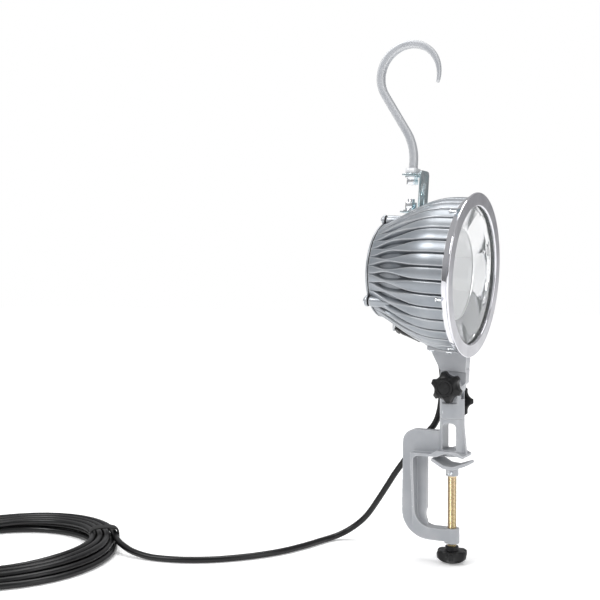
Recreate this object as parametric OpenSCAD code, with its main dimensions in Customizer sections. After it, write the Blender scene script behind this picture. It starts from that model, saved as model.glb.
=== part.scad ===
// Clamp-on floodlight: C clamp, pan and tilt joints, finned lamp body, hanging hook, mains cord.
// Millimetres. The origin is at the fixed jaw's seat, on the pan axis. +X is the way the lamp
// faces, +Z is up along the pan axis, -Y is the side with the tilt knob.

/* [Clamp] */
// Clear height between the fixed jaw's seat and the bottom arm
throat_h = 82; // [70:1:90]
// Distance from the pan axis to the spine's back
spine_reach = 57.5; // [54:0.5:62]
// Half width of both jaws
jaw_half_w = 16.5; // [14:0.5:18]
// Height of the top arm
arm_h = 28; // [25:1:30]
// Radius of the clamp screw
screw_r = 5; // [4.5:0.1:5.4]
// How far the saddle leans on its swivel
saddle_lean = 5; // [0:0.5:5]

/* [Pan and tilt] */
// Radius of the post's top and of the collar
collar_r = 13.8; // [13:0.1:14.5]
// Height of the joint between post and collar
seam_z = 43; // [42:0.5:44]
// Height of the tilt pivot
pivot_z = 79; // [78:0.5:80]
// How far the lamp points down at rest
head_tilt = 3.6; // [0:0.1:5]
// Radius of the star knobs
knob_r = 18; // [16:0.5:18]
// Radius of the pivot bolt
pivot_r = 4; // [3.8:0.1:4.2]

/* [Lamp body] */
// Height of the lamp's axis above the tilt pivot
axis_h = 125; // [124:0.5:126]
// Radius of the body where it meets the front ring
body_r = 86; // [85:0.5:86]
// Radius of the body at the rear cover
rear_r = 54.5; // [53:0.5:56]
// Length of the finned body
body_l = 97; // [95:1:99]
// Outer radius of the front ring
ring_r = 91.5; // [90:0.5:93]
// Radius of the front opening
opening_r = 76.5; // [75:0.5:77]
// Thickness of the cast wall
wall = 4; // [3.5:0.5:4.5]

/* [Hook] */
// Radius of the hook's centre line
hook_r = 36.4; // [34:0.2:37]
// Width of the hook's bar in its plane
hook_w = 8.4; // [7:0.2:9]
// Width of the hook's bar across its plane
hook_t = 9.3; // [8:0.1:10]

/* [Cord] */
// Diameter of the mains cord
cord_d = 7.2; // [6.8:0.1:7.4]
// Radius of the coil at the middle of its turns
coil_r = 124; // [118:1:126]
// Half width of the coiled bundle
coil_half_w = 17; // [15:0.5:17]
// Height of the coiled bundle
coil_h = 24; // [22:1:25]

/* [Hidden] */

fine = 96;
small = 40;
run_gap = 0.05;
cast_grey = [0.66, 0.67, 0.69];
zinc = [0.80, 0.83, 0.86];
yellow_zinc = [0.74, 0.62, 0.32];
black_plastic = [0.07, 0.07, 0.08];
cord_black = [0.04, 0.04, 0.045];

// Clamp frame
floor_z = -120;
web_half_t = 5;
flange_t = 3;
boss_r = 8.5;
arm_low_t = 13.5;
inner_x = -(spine_reach - 16.5);
rib_x = inner_x + 12.5;
spigot_r = 9;
spigot_top = 62;
groove_r = 7.2;
pan_screw_z = 60;
window_half_x = 8;

// Saddle
saddle_seat_z = -9.5;
saddle_boss_bottom = -22;
screw_top = -15;

// Knobs
lobe_notch_r = 7.5;
cap_r = 9.7;
clamp_knob_top = -101;
tilt_knob_y = -11.25;
pan_knob_y = 14.1;

// Lamp body, in its own frame: x along the lamp's axis from the pivot, z above the pivot
rear_x = -87.5;
front_x = rear_x + body_l;
face_x = 19;
leg_foot_z = 38.4;
bulge_l = 84;
bulge_power = 1.2;
lug_ring_r = 57;
lug_angles = [8, 128, 248];
pad_r = 66;
ring_screw_angles = [39, 108, 159, 219, 288, 339];
ring_screw_at = 85;

// Bracket and hook
bolt_x = -62.5;
low_tab_z = axis_h + pad_r;
up_tab_z = 233;
plate_x = -48.5;
tab_back_x = -70.5;
sheet_t = 2;
hook_base_z = 236;
hook_centre = [-72.5, 346.3];
stem_bend_r = 60;
stem_bend = 35;
hook_tip_angle = -8;

// Cord entry: a gland that lies along the body's underside on the far side
gland_at = [-84, 36, 61.5];
gland_dip = 26;
boot_end = 34;

// Route of the cord from the boot, down past the clamp and along the floor to the coil
lie_z = floor_z + cord_d / 2;
upper_route = concat([boot_point(boot_end + 0.05), boot_point(boot_end + 7)], [
    [-37, 35.3, 122.3], [-30.5, 34.3, 114.5], [-26.4, 34.8, 105.5], [-24.3, 35.6, 95.5],
    [-23.7, 36.2, 84.5], [-23.2, 34.2, 72.5], [-24.2, 32.1, 60]
]);
lower_route = [
    [-24.2, 31.9, 59.2], [-24.3, 28.3, 47.5], [-26.6, 25, 35.5], [-33, 23.3, 26.6],
    [-41, 21.8, 18],
    [-50, 23, 8], [-60, 25.2, -4.5], [-70, 27.5, -17.5], [-82, 30, -33.5], [-94, 33, -51],
    [-106, 36, -68], [-118, 39.5, -84], [-129, 42.5, -95.5], [-141, 44, -105], [-152, 41, -112.5],
    [-161, 31, lie_z], [-167, 14, lie_z], [-170, -8, lie_z], [-175, -32, lie_z],
    [-184, -57, lie_z], [-198, -82, lie_z], [-217, -106, lie_z], [-241, -128, lie_z],
    [-272, -144, lie_z], [-303, -150, lie_z], [-331, -149, -113.5], [-353, -142, -109],
    [-369, -131.5, -106]
];
coil_at = [-478, -214];
tie_angle = 44;
plug_at = [-490, -262];
tail_route = [
    [-584, -190, lie_z], [-582, -205, lie_z], [-578, -220, lie_z], [-571, -234, -115],
    [-560, -246.5, -112.5], [-545, -254, -111.5], [-528.3, -257.3, -111.5]
];

// A point of the lamp body's frame as it stands when the lamp is tilted at rest
function head_point(p) = [p[0] * cos(head_tilt) + p[2] * sin(head_tilt), p[1],
    pivot_z - p[0] * sin(head_tilt) + p[2] * cos(head_tilt)];
function boot_point(l) = head_point(gland_at + l * [cos(gland_dip), 0, -sin(gland_dip)]);

// Radius of the lamp body at a distance s in front of the rear seam
function body_at(s) =
    rear_r + (body_r - rear_r) * pow(sin(90 * min(s, bulge_l) / bulge_l), bulge_power);

// Points of the body's outline, inset by a wall thickness, from s0 to s1
function outline(inset, s0, s1, steps) =
    [for (i = [0:steps]) let (s = s0 + (s1 - s0) * i / steps) [body_at(s) - inset, s]];

// Smooth curve through a list of points: value at a distance u along the piece from p1 to p2
function bend(p0, p1, p2, p3, u) =
    p1 + u * (p2 - p0) / 2
    + u * u * (p0 - 2.5 * p1 + 2 * p2 - p3 / 2)
    + u * u * u * ((p3 - p0) / 2 + 1.5 * (p1 - p2));
function no_lower(path) = [for (p = path) [p[0], p[1], max(p[2], lie_z)]];
function pick(list, i) = list[max(0, min(len(list) - 1, i))];
function smooth(list, per) = concat(
    [for (i = [0:len(list) - 2], j = [0:per - 1])
        bend(pick(list, i - 1), list[i], list[i + 1], pick(list, i + 2), j / per)],
    [list[len(list) - 1]]
);
function unit(v) = v / norm(v);
function heading(path, i) = unit(pick(path, i + 1) - pick(path, i - 1));
function sideways(t) = abs(t[2]) < 0.9 ? unit(cross(t, [0, 0, 1])) : unit(cross(t, [0, 1, 0]));
function ring_at(p, t, r, sides) = let (a = sideways(t), b = cross(t, a))
    [for (k = [0:sides - 1]) p + r * (cos(360 * k / sides) * a + sin(360 * k / sides) * b)];

// Tube swept along a list of points
module tube(path, d, sides = 8) {
    rings = len(path);
    points = [for (i = [0:rings - 1]) each ring_at(path[i], heading(path, i), d / 2, sides)];
    walls = [for (i = [0:rings - 2], k = [0:sides - 1]) let (n = (k + 1) % sides)
        [i * sides + k, i * sides + n, (i + 1) * sides + n, (i + 1) * sides + k]];
    start = [for (k = [sides - 1:-1:0]) k];
    end = [for (k = [0:sides - 1]) (rings - 1) * sides + k];
    polyhedron(points, concat([start], walls, [end]), convexity = 10);
}

// A plate in the XZ plane, from y0 to y1
module xz_plate(y0, y1) {
    translate([0, y1, 0]) rotate([90, 0, 0]) linear_extrude(y1 - y0) children();
}

// A cylinder along +Y that starts at y0
module along_y(y0, length, r, fn = small) {
    translate([0, y0 + length, 0]) rotate([90, 0, 0]) cylinder(h = length, r = r, $fn = fn);
}

// A cylinder along +X that starts at x0
module along_x(x0, length, r, fn = small) {
    translate([x0, 0, 0]) rotate([0, 90, 0]) cylinder(h = length, r = r, $fn = fn);
}

// Things in the lamp body's frame
module on_head() {
    translate([0, 0, pivot_z]) rotate([0, head_tilt, 0]) children();
}

// A solid of revolution about the lamp's axis, its profile given as [radius, x]
module lathe(x0 = 0) {
    translate([x0, 0, axis_h]) rotate([0, 90, 0]) rotate_extrude($fn = fine) children();
}

// Things at an angle a round the lamp's axis, from the top towards -Y, with +Z pointing outwards
module around(a) {
    translate([0, 0, axis_h]) rotate([a, 0, 0]) children();
}

// ---- Clamp ----

module c_outline() {
    top_r = 15.5;
    low_r = 32;
    in_top_r = 6;
    in_low_r = 19.5;
    low_z = -throat_h - arm_low_t;
    difference() {
        union() {
            translate([-spine_reach, -60]) square([30, 60 + arm_h - top_r]);
            translate([-spine_reach + top_r, 0]) square([spine_reach - top_r, arm_h]);
            translate([-spine_reach + top_r, arm_h - top_r]) circle(r = top_r, $fn = fine);
            translate([-spine_reach + low_r, low_z + low_r]) circle(r = low_r, $fn = fine);
            translate([-spine_reach + low_r, low_z]) square([spine_reach - low_r, 40]);
        }
        throat_outline(in_top_r, in_low_r);
    }
}

module throat_outline(in_top_r, in_low_r) {
    translate([inner_x, -throat_h + in_low_r]) square([80, throat_h - in_low_r - in_top_r]);
    translate([inner_x + in_top_r, -30]) square([80, 30]);
    translate([inner_x + in_low_r, -throat_h]) square([80, 40]);
    translate([inner_x + in_top_r, -in_top_r]) circle(r = in_top_r, $fn = fine);
    translate([inner_x + in_low_r, -throat_h + in_low_r]) circle(r = in_low_r, $fn = fine);
}

module flange_strip() {
    difference() {
        translate([inner_x - flange_t, -throat_h - flange_t]) square([40, throat_h + 2 * flange_t]);
        throat_outline(6, 19.5);
        translate([inner_x + 25, -throat_h]) square([40, throat_h + 10]);
    }
}

// The flange is as wide as the jaw at the top and tapers to the bottom arm
module flange_taper() {
    rotate([90, 0, 90]) linear_extrude(200, center = true)
        polygon([[-jaw_half_w, 10], [jaw_half_w, 10], [jaw_half_w, -8], [boss_r, -throat_h],
            [boss_r, -110], [-boss_r, -110], [-boss_r, -throat_h], [-jaw_half_w, -8]]);
}

// The C is a thin web at the top and thickens to the screw boss at the bottom
module web_taper() {
    rotate([90, 0, 90]) linear_extrude(200, center = true)
        polygon([[-web_half_t, 60], [web_half_t, 60], [web_half_t, -10], [boss_r, -throat_h],
            [boss_r, -130], [-boss_r, -130], [-boss_r, -throat_h], [-web_half_t, -10]]);
}

module jaw_outline() {
    polygon([[inner_x + 6, 0], [-13, 0], [0, 5.5], [17, 0], [17.6, 2.6], [9, 7], [-13, 7],
        [-20, flange_t], [inner_x + 6, flange_t]]);
}

module clamp_frame() {
    color(cast_grey) difference() {
        union() {
            intersection() {
                xz_plate(-boss_r, boss_r) intersection() {
                    c_outline();
                    union() {
                        translate([-spine_reach, -throat_h]) square([spine_reach - 8, 140]);
                        translate([-spine_reach, -throat_h - 30]) square([spine_reach, 50]);
                    }
                }
                web_taper();
            }
            intersection() {
                xz_plate(-jaw_half_w, jaw_half_w) flange_strip();
                flange_taper();
            }
            xz_plate(-1.6, 1.6) difference() {
                translate([inner_x - 1, -throat_h - 1]) square([13.5, throat_h + 2]);
                translate([rib_x + 12, -throat_h + 14]) circle(r = 14, $fn = fine);
                translate([rib_x, -throat_h + 14]) square([10, throat_h]);
            }
            xz_plate(-jaw_half_w, jaw_half_w) jaw_outline();
            translate([0, 0, -throat_h - arm_low_t - 2.5])
                cylinder(h = arm_low_t + 3.5, r = boss_r, $fn = fine);
            post();
        }
        translate([0, 0, -throat_h - 20]) cylinder(h = 30, r = screw_r + run_gap, $fn = small);
    }
}

module post() {
    difference() {
        union() {
            translate([0, 0, 3]) cylinder(h = seam_z - 3, r = collar_r, $fn = fine);
            xz_plate(-2, 2) polygon([[12, 3], [17.4, 3], [13.7, seam_z - 6], [12, seam_z - 6]]);
            cylinder(h = spigot_top, r = spigot_r, $fn = fine);
        }
        xz_plate(-30, 30) window_outline();
        translate([0, 0, pan_screw_z]) rotate_extrude($fn = fine)
            translate([groove_r, -4.6]) square([10, 9.2]);
    }
    translate([4.5, 0, 7]) cylinder(h = 4, r = 3, $fn = 6);
}

module window_outline() {
    translate([-window_half_x, 8]) square([2 * window_half_x, 24.5]);
    translate([-window_half_x + 5, 8]) square([2 * window_half_x - 10, 30]);
    for (side = [-1, 1]) {
        translate([side * (window_half_x - 5.5), 32.5]) circle(r = 5.5, $fn = small);
    }
}

// The saddle is a trough with a boss that sits on the screw's end
module saddle_outline() {
    half_l = 19.5;
    rise = 6.5;
    polygon([[-half_l, rise], [-5, 0], [5, 0], [half_l, rise], [half_l + 0.8, rise - 3.3],
        [5.8, -3.5], [-5.8, -3.5], [-half_l - 0.8, rise - 3.3]]);
}

module saddle_jaw() {
    color(cast_grey) difference() {
        union() {
            translate([0, 0, saddle_seat_z]) rotate([0, saddle_lean, 0])
                xz_plate(-jaw_half_w + 0.5, jaw_half_w - 0.5) saddle_outline();
            translate([0, 0, saddle_boss_bottom])
                cylinder(h = 10, r = 7.2, $fn = fine);
            for (side = [-1, 1]) {
                translate([-1.8, side * 10.5 - 5, saddle_seat_z - 8]) cube([3.6, 10, 6]);
            }
        }
        translate([0, 0, saddle_boss_bottom - 1])
            cylinder(h = screw_top - saddle_boss_bottom + 1.2, r = screw_r + run_gap, $fn = small);
        translate([0, -7.3, screw_top - 2.8]) rotate([90, 0, 0])
            cylinder(h = 8, r = 1.6, center = true, $fn = small);
    }
}

module saddle_screw() {
    color(zinc) translate([0, 0, screw_top - 2.8]) {
        along_y(-7.2, 2.9, 1.6);
        difference() {
            along_y(-9.4, 2.3, 3.1);
            for (turn = [45, 135]) {
                rotate([0, turn, 0]) translate([-2, -9.5, -0.3]) cube([4, 1, 0.6]);
            }
        }
    }
}

module clamp_screw() {
    color(yellow_zinc) difference() {
        translate([0, 0, clamp_knob_top - 10])
            cylinder(h = screw_top - clamp_knob_top + 10, r = screw_r, $fn = fine);
        translate([0, 0, screw_top - 4.9]) rotate_extrude($fn = fine)
            translate([screw_r - 0.9, 0]) square([3, 4]);
    }
}

// ---- Knobs ----

module star_outline() {
    difference() {
        circle(r = knob_r, $fn = fine);
        for (k = [0:5]) {
            rotate(60 * k + 30) translate([knob_r + 3.5, 0]) circle(r = lobe_notch_r, $fn = small);
        }
    }
}

// Star knob on +Z: hub from z = 0, then the lobes, then a low dome with a seat for the cap
module star_knob(hub_h, lobe_h, dome_h, bore_r, bore_l) {
    top = hub_h + lobe_h;
    difference() {
        union() {
            cylinder(h = hub_h + 1, r = 7.5, $fn = fine);
            intersection() {
                translate([0, 0, hub_h]) linear_extrude(lobe_h + dome_h) star_outline();
                rotate_extrude($fn = fine) polygon([[0, hub_h], [knob_r - 1.5, hub_h],
                    [knob_r, hub_h + 1.5], [knob_r, top - 3], [knob_r - 1.2, top - 1],
                    [knob_r - 3.5, top], [cap_r + 2, top + dome_h], [0, top + dome_h]]);
            }
        }
        translate([0, 0, -1]) cylinder(h = bore_l + 1, r = bore_r, $fn = small);
        translate([0, 0, top + dome_h - 2]) cylinder(h = 3, r = cap_r + run_gap, $fn = fine);
    }
}

// Cap: a ring with a raised button, its back at z = 0
module star_cap(height) {
    rotate_extrude($fn = fine) polygon([[0, 0], [cap_r, 0], [cap_r, height - 0.6],
        [cap_r - 0.6, height], [7.6, height], [7.2, height - 0.5], [6.8, height - 0.5],
        [6.8, height + 0.2], [6.2, height + 0.5], [0, height + 0.5]]);
}

module clamp_knob() {
    color(black_plastic) translate([0, 0, clamp_knob_top]) rotate([180, 0, 15])
        star_knob(4.5, 11, 2.5, screw_r, 10);
}

module clamp_knob_cap() {
    color(black_plastic) translate([0, 0, clamp_knob_top - 16]) rotate([180, 0, 0]) star_cap(2.4);
}

module tilt_knob() {
    color(black_plastic) translate([0, tilt_knob_y, pivot_z]) rotate([90, 0, 0]) rotate([0, 0, 40])
        star_knob(2.2, 12, 2.5, pivot_r + run_gap, 10.2);
}

module tilt_knob_cap() {
    color(black_plastic) translate([0, tilt_knob_y - 14.7, pivot_z]) rotate([90, 0, 0])
        star_cap(2.6);
}

module pan_knob() {
    color(black_plastic) translate([0, pan_knob_y, pan_screw_z]) rotate([-90, 0, 0])
        star_knob(3.7, 7.6, 2, pivot_r, 9.9);
}

module pan_knob_cap() {
    color(black_plastic) translate([0, pan_knob_y + 11.3, pan_screw_z]) rotate([-90, 0, 0])
        star_cap(2.3);
}

module pan_stud() {
    color(zinc) translate([0, 0, pan_screw_z])
        along_y(groove_r + 0.3, pan_knob_y + 9.9 - groove_r - 0.3, pivot_r);
}

// ---- Collar and pivot ----

module pan_collar() {
    cheek_y = 10;
    slot_half = 5.7;
    slot_floor = pivot_z - 14;
    color(cast_grey) difference() {
        union() {
            translate([0, 0, seam_z + 0.15])
                cylinder(h = pan_screw_z - seam_z, r = collar_r, $fn = fine);
            intersection() {
                translate([0, 0, pan_screw_z - 1])
                    cylinder(h = pivot_z - pan_screw_z + 1, r = collar_r, $fn = fine);
                translate([-20, -cheek_y, 0]) cube([40, 2 * cheek_y, 120]);
            }
            translate([0, 0, pivot_z]) along_y(-cheek_y, 2 * cheek_y, 13, fine);
        }
        translate([0, 0, seam_z - 1])
            cylinder(h = spigot_top - seam_z + 1.4, r = spigot_r + run_gap, $fn = fine);
        translate([-30, -slot_half, slot_floor]) cube([60, 2 * slot_half, 60]);
        translate([0, 0, pivot_z]) along_y(-20, 40, pivot_r, small);
        translate([0, 0, pan_screw_z]) along_y(0, 20, pivot_r + run_gap);
    }
}

module tilt_bolt() {
    color(zinc) translate([0, 0, pivot_z]) {
        along_y(tilt_knob_y - 10, 11.2 - tilt_knob_y + 10, pivot_r);
        along_y(11.2, 5.3, 7.5, 6);
    }
}

module tilt_washers() {
    color(zinc) translate([0, 0, pivot_z]) difference() {
        union() {
            along_y(10, 1.2, 8);
            along_y(-11.2, 1.2, 8);
        }
        along_y(-20, 40, pivot_r);
    }
}

// ---- Lamp body ----

// Everything inside the lamp body's outer surface
module body_solid() {
    lathe(rear_x) polygon(concat([[0, 0]], outline(0, 0, body_l, 24), [[0, body_l]]));
}

module support_leg() {
    ear_half = 5.5;
    leg_half = 7;
    color(cast_grey) on_head() difference() {
        union() {
            xz_plate(-leg_half, leg_half)
                polygon([[-13.5, 17], [16.5, 17], [17.3, 48], [-30, 48], [-29.5, 43], [-24, 35]]);
            xz_plate(-ear_half, ear_half) {
                polygon([[-13.2, 0], [-13.5, 20], [17.3, 20], [17.3, 5], [12.6, 0]]);
                circle(r = 13.4, $fn = fine);
            }
            translate([-28.5, -12.5, leg_foot_z]) cube([35.5, 25, 14]);
        }
        body_solid();
        lathe() polygon([[0, front_x - 1], [86.4, front_x - 1], [86.4, front_x], [90, 16.4],
            [ring_r, 17.2], [ring_r, 30], [0, 30]]);
        along_y(-20, 40, pivot_r + run_gap, small);
        leg_screw_places() cylinder(h = 20, r = 2.5, $fn = small);
    }
}

module leg_screw_places() {
    for (x = [-23.5, -3], y = [-8.5, 8.5]) {
        translate([x, y, leg_foot_z - 0.1]) children();
    }
}

module leg_screws() {
    color(zinc) on_head() leg_screw_places() {
        cylinder(h = 11, r = 2.5, $fn = small);
        translate([0, 0, -2.3]) cylinder(h = 2.4, r = 4.2, $fn = small);
    }
}

module lug_places(x) {
    for (a = lug_angles) {
        around(a) translate([x, 0, lug_ring_r]) rotate([0, 90, 0]) children();
    }
}

// The hollow inside the lamp body, less the block under the bracket and the leg screws' bosses
module cavity() {
    difference() {
        lathe(rear_x) polygon(concat([[0, -1], [rear_r - wall, -1]],
            outline(wall, 0, body_l, 24), [[body_r - wall, body_l + 1], [0, body_l + 1]]));
        translate([rear_x + 8, -16, axis_h + pad_r - 6]) cube([40, 32, 40]);
        leg_screw_places() cylinder(h = 17, r = 5, $fn = small);
    }
}

module housing() {
    color(cast_grey) on_head() difference() {
        union() {
            body_solid();
            lug_places(rear_x) rotate([0, 0, 100]) cylinder(h = 32, r = 6.2, $fn = small);
            gland_neck();
        }
        cavity();
        translate([rear_x - 1, -14, axis_h + pad_r]) cube([45, 28, 40]);
        lug_places(rear_x - 1) cylinder(h = 16, r = 2, $fn = small);
        ring_screw_places() {
            translate([0, 0, -6]) cylinder(h = 7, r = 1.25, $fn = small);
            translate([0, 0, -13]) cylinder(h = 8, r = 2.5, $fn = small);
        }
        leg_screw_places() translate([0, 0, -1]) cylinder(h = 14, r = 2.5, $fn = small);
        translate([bolt_x, 0, low_tab_z - 10]) cylinder(h = 12, r = 4, $fn = small);
        gland_line() translate([0, 0, -2]) cylinder(h = 12, r = 6, $fn = small);
        translate([-82, gland_at[1], 66]) cylinder(h = 22, r = 4.5, $fn = small);
    }
}

// Cast neck that carries the gland below the body
module gland_neck() {
    xz_plate(gland_at[1] - 9.5, gland_at[1] + 9.5) polygon([[rear_x + 0.1, 84], [rear_x + 0.1, 55],
        [-86.4, 51.9], [-77.9, 69.5], [-72, 77], [-78, 90]]);
}

module rear_cover() {
    color(cast_grey) on_head() difference() {
        union() {
            lathe(rear_x) polygon([[0, -6], [30, -5.4], [48, -4.4], [rear_r - 1, -3.6], [rear_r, -2.8],
                [rear_r, -0.8], [0, -0.8]]);
            lug_places(rear_x - 4.6) cylinder(h = 3.8, r = 6.4, $fn = small);
        }
        lug_places(rear_x - 8) cylinder(h = 12, r = 2.2, $fn = small);
    }
}

module rear_gasket() {
    color(black_plastic) on_head() difference() {
        union() {
            lathe(rear_x) polygon([[rear_r - 4, -0.8], [rear_r - 0.6, -0.8], [rear_r - 0.6, 0],
                [rear_r - 4, 0]]);
            lug_places(rear_x - 0.8) cylinder(h = 0.8, r = 5.6, $fn = small);
        }
        lug_places(rear_x - 8) cylinder(h = 12, r = 2.2, $fn = small);
        lathe(rear_x) polygon([[0, -3], [rear_r - 4, -3], [rear_r - 4, 3], [0, 3]]);
    }
}

module rear_cover_screws() {
    color(zinc) on_head() lug_places(rear_x - 4.6) {
        cylinder(h = 17.6, r = 2, $fn = small);
        translate([0, 0, -2.4]) cylinder(h = 2.4, r = 3.8, $fn = small);
    }
}

module front_ring() {
    color([0.78, 0.78, 0.82]) on_head() difference() {
        lathe() polygon([[82.5, front_x], [86.4, front_x], [90, 16.4], [ring_r, 17.2],
            [ring_r, 18.4], [ring_r - 0.6, face_x], [opening_r + 0.4, face_x], [opening_r, 18.6],
            [opening_r, 16], [82.5, 16]]);
        ring_screw_places() translate([0, 0, -1]) cylinder(h = 6, r = 1.25, $fn = small);
    }
}

module ring_screw_places() {
    for (a = ring_screw_angles) {
        around(a) translate([front_x, 0, ring_screw_at]) rotate([0, 90, 0]) children();
    }
}

module ring_screws() {
    color(zinc) on_head() ring_screw_places() {
        translate([0, 0, -5]) cylinder(h = 9.5, r = 1.25, $fn = small);
        translate([0, 0, -6.6]) cylinder(h = 1.7, r = 2.3, $fn = small);
    }
}

module front_glass() {
    color([0.85, 0.9, 0.92, 0.35]) on_head() lathe()
        polygon([[0, 12.5], [82, 12.5], [82, 16], [0, 16]]);
}

module glass_gasket() {
    color(black_plastic) on_head() lathe()
        polygon([[77, front_x], [82.3, front_x], [82.3, 12.5], [77, 12.5]]);
}

module reflector() {
    color([0.9, 0.9, 0.92]) on_head() lathe()
        polygon([[50, 0], [51.5, -0.6], [78, 8], [81.5, 8], [81.5, front_x], [76.6, front_x]]);
}

module reflector_cup() {
    color([0.93, 0.93, 0.92]) on_head() lathe()
        polygon([[50, -0.1], [51.5, -0.7], [43.5, -38], [14, -38], [14, -36.5], [42.3, -36.5]]);
}

module lamp_bulb() {
    color([0.95, 0.95, 0.9, 0.6]) on_head() lathe()
        polygon([[0, -58], [11, -58], [11, -20], [9.6, -15], [6.5, -12], [0, -10.5]]);
}

module lamp_base() {
    color([0.85, 0.85, 0.8]) on_head() lathe()
        polygon([[0, -70], [12, -70], [13, -68], [13, -58], [0, -58]]);
}

module lampholder() {
    color([0.9, 0.89, 0.85]) on_head() lathe()
        polygon([[0, -82], [18, -82], [18, -60], [13.2, -60], [13.2, -70], [0, -70]]);
}

module holder_bracket() {
    color(zinc) on_head() difference() {
        union() {
            lathe() polygon([[0, -84], [24, -84], [24, -82], [0, -82]]);
            translate([-84, -8, axis_h - 53.5]) cube([2, 16, 107]);
        }
        around(0) along_x(-86, 5, 3);
    }
}

module driver_board() {
    color([0.12, 0.3, 0.16]) on_head() translate([-58, 0, axis_h + 54]) {
        translate([0, -18, 0]) cube([46, 36, 1.6]);
        translate([3, -12, 1.6]) cube([14, 12, 3]);
        translate([20, -4, -4]) cube([12, 12, 4]);
        translate([35, 6, -4]) cylinder(h = 4, r = 5, $fn = small);
        translate([7, 10, 1]) cylinder(h = 6, r = 2.5, $fn = small);
        translate([40, -8, 1]) cylinder(h = 28, r = 2.5, $fn = small);
    }
}

module terminal_block() {
    color([0.9, 0.9, 0.88]) on_head() translate([-82, -10, axis_h - 42]) difference() {
        cube([16, 24, 10]);
        for (k = [0:2]) {
            translate([8, 4 + 8 * k, 5]) cylinder(h = 8, r = 2, $fn = small);
        }
    }
}

// ---- Cord entry ----

// Things along the gland's axis: +Z is the way the cord leaves
module gland_line() {
    translate(gland_at) rotate([0, 90 + gland_dip, 0]) children();
}

module cord_gland() {
    color(black_plastic) on_head() gland_line() difference() {
        union() {
            translate([0, 0, -2]) cylinder(h = 4, r = 6, $fn = small);
            translate([0, 0, 2]) cylinder(h = 7, r = 10, $fn = 6);
            translate([0, 0, 9]) cylinder(h = 3, r = 8.6, $fn = small);
        }
        translate([0, 0, -7]) cylinder(h = 20, r = cord_d / 2, $fn = small);
    }
}

module cord_boot() {
    color(cord_black) on_head() gland_line() rotate_extrude($fn = small)
        polygon([[0, 12], [8.2, 12], [8.2, 15], [5.2, boot_end], [0, boot_end]]);
}

// ---- Bracket and hook ----

module hook_bracket() {
    half_y = 13;
    color(zinc) on_head() difference() {
        union() {
            translate([tab_back_x, -half_y, low_tab_z])
                cube([plate_x + 1 - tab_back_x, 2 * half_y, sheet_t]);
            translate([tab_back_x, -half_y, up_tab_z])
                cube([plate_x + 1 - tab_back_x, 2 * half_y, sheet_t]);
            translate([plate_x - 1, -half_y, low_tab_z]) cube([sheet_t, 2 * half_y, 40]);
            translate([plate_x - 1, 0, low_tab_z + 40]) rotate([90, 0, 90]) linear_extrude(sheet_t)
                polygon([[-half_y, 0], [half_y, 0], [half_y, 4.5], [half_y - 1.6, 7],
                    [half_y - 4.5, 8.3], [-half_y + 4.5, 8.3], [-half_y + 1.6, 7], [-half_y, 4.5]]);
            translate([plate_x - 0.2, -2, low_tab_z + 6]) cube([2.4, 4, 28]);
        }
        translate([bolt_x, 0, low_tab_z - 1]) cylinder(h = 4, r = 4.3, $fn = small);
        translate([bolt_x, 0, up_tab_z - 1]) cylinder(h = 4, r = 4 + run_gap, $fn = small);
        translate([0, -7, low_tab_z + 22]) along_x(plate_x - 3, 6, 2);
    }
}

module bracket_bolt() {
    color(zinc) on_head() translate([bolt_x, 0, low_tab_z]) {
        translate([0, 0, -10]) cylinder(h = 16, r = 4, $fn = small);
        translate([0, 0, 5.8]) cylinder(h = 6.5, r = 7, $fn = 6);
        translate([0, 0, 12.2]) cylinder(h = 4, r = 4, $fn = small);
    }
}

module washer_pair(r_out) {
    difference() {
        union() {
            cylinder(h = 1.6, r = r_out, $fn = small);
            translate([0, 0, 1.6]) cylinder(h = 2.2, r = 6.4, $fn = small);
        }
        translate([0, 0, -1]) cylinder(h = 6, r = 4, $fn = small);
    }
}

module bracket_washers() {
    color(zinc) on_head() translate([bolt_x, 0, low_tab_z + sheet_t]) washer_pair(8.5);
}

module hook_bolt() {
    color(zinc) on_head() translate([bolt_x, 0, up_tab_z]) {
        translate([0, 0, -9]) cylinder(h = 23.5, r = 4, $fn = small);
        translate([0, 0, -9.35]) cylinder(h = 5.5, r = 7, $fn = 6);
    }
}

module hook_washers() {
    color(zinc) on_head() {
        translate([bolt_x, 0, up_tab_z - 0.05]) rotate([180, 0, 0]) washer_pair(8.5);
        translate([bolt_x, 0, up_tab_z + sheet_t + 0.05]) difference() {
            cylinder(h = hook_base_z - up_tab_z - sheet_t - 0.05, r = 8, $fn = small);
            translate([0, 0, -1]) cylinder(h = 4, r = 4, $fn = small);
        }
    }
}

// One edge of the hook's bar, from the tip to the foot. side is 1 for the outer edge, -1 for the inner
function hook_edge(side) = let (
    r = hook_r + side * hook_w / 2,
    down = [sin(stem_bend), -cos(stem_bend)],
    stem_top = hook_centre - hook_r * [cos(stem_bend), sin(stem_bend)],
    // the straight part ends where the reverse bend brings the stem over the bolt
    stem_l = (bolt_x - stem_bend_r * (1 - cos(stem_bend)) - stem_top[0]) / down[0],
    bend_centre = [bolt_x - stem_bend_r,
        stem_top[1] + stem_l * down[1] - stem_bend_r * sin(stem_bend)],
    bend_r = stem_bend_r - side * hook_w / 2
) concat(
    [for (i = [0:28]) let (a = hook_tip_angle + (180 + stem_bend - hook_tip_angle) * i / 28)
        hook_centre + r * [cos(a), sin(a)]],
    [for (i = [0:5]) let (a = stem_bend * (1 - i / 5)) bend_centre + bend_r * [cos(a), sin(a)]],
    [[bolt_x - side * hook_w / 2, hook_base_z + 4]]
);

module hook_outline() {
    inner = hook_edge(-1);
    polygon(concat(hook_edge(1), [for (i = [len(inner) - 1:-1:0]) inner[i]]));
}

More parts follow.
